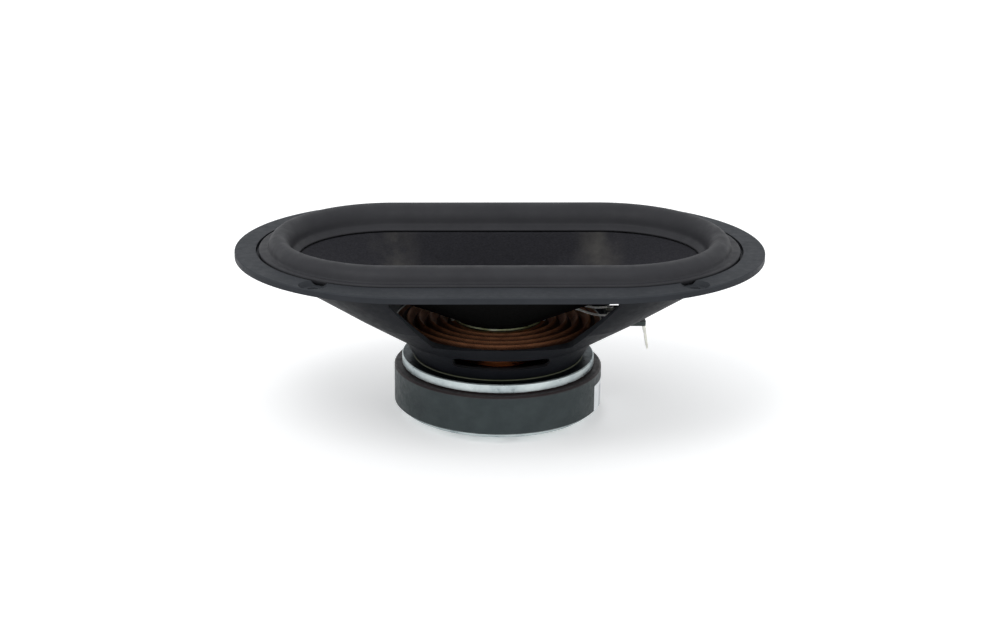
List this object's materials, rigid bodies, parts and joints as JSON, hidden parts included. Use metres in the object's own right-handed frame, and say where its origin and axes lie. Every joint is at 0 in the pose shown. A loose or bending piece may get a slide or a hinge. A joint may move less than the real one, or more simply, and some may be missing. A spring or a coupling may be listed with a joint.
{
  "type": "oval car speaker",
  "caption": "Oval car loudspeaker with a dark paper cone in a rubber half-roll surround, a solid-winged basket with side windows, a corrugated spider and a ring magnet.",
  "frame": {"origin": "centre of the flange's rear face, which lies on the panel it is screwed to", "axes": "+Z along the cone's axis, the way the sound goes; +X along the oval's long axis, towards the terminals"},
  "size_m": [0.235, 0.15, 0.0828],
  "materials": {
    "basket_plastic": "moulded, satin matte",
    "zinc_steel": "zinc plated, slightly blue",
    "rivet_steel": "zinc plated",
    "ferrite": "ground and dull",
    "magnet_adhesive": "cured adhesive",
    "label_paper": "blank sticker",
    "spider_cloth": "resin-dipped woven cloth",
    "amber_glue": "cured adhesive",
    "surround_rubber": "satin rubber",
    "terminal_fibre": "pressed fibre board",
    "tab_metal": "tin plated",
    "cone_paper": "dark pressed pulp",
    "cap_cloth": "treated cloth",
    "dark_glue": "cured adhesive",
    "former_film": "heat-proof film",
    "copper_wire": "enamelled copper",
    "collar_paper": "dark kraft paper",
    "pale_glue": "pale yellow-green adhesive",
    "white_glue": "white adhesive",
    "tinsel_braid": "silvered tinsel braid"
  },
  "bodies": {
    "chassis": {"basket": "basket_plastic", "foot_glue": "pale_glue", "top_plate": "zinc_steel", "plate_rivets": "rivet_steel", "magnet": "ferrite", "yoke": "zinc_steel", "magnet_glue_front": "magnet_adhesive", "magnet_glue_rear": "magnet_adhesive", "magnet_label": "label_paper", "spider": "spider_cloth", "spider_rim_glue": "amber_glue", "surround": "surround_rubber", "terminal_board": "terminal_fibre", "board_rivet": "rivet_steel", "wide_tab": "tab_metal", "narrow_tab": "tab_metal", "wide_tab_lug": "tab_metal", "narrow_tab_lug": "tab_metal", "tab_rivets": "rivet_steel"},
    "cone_assembly": {"cone": "cone_paper", "dust_cap": "cap_cloth", "dust_cap_glue": "dark_glue", "coil_former": "former_film", "coil_winding": "copper_wire", "former_collar": "collar_paper", "neck_glue": "pale_glue", "spider_neck_glue": "amber_glue", "lead_joints": "white_glue", "wide_tab_lead": "tinsel_braid", "narrow_tab_lead": "tinsel_braid"}
  },
  "joints": [
    {"name": "cone_travel", "type": "slide", "parent": "chassis", "child": "cone_assembly", "axis": [0, 0, 1], "range_m": [-0.004, 0.004], "stiffness_N_per_m": 2400, "deforming": ["surround", "spider", "wide_tab_lead", "narrow_tab_lead"]}
  ]
}
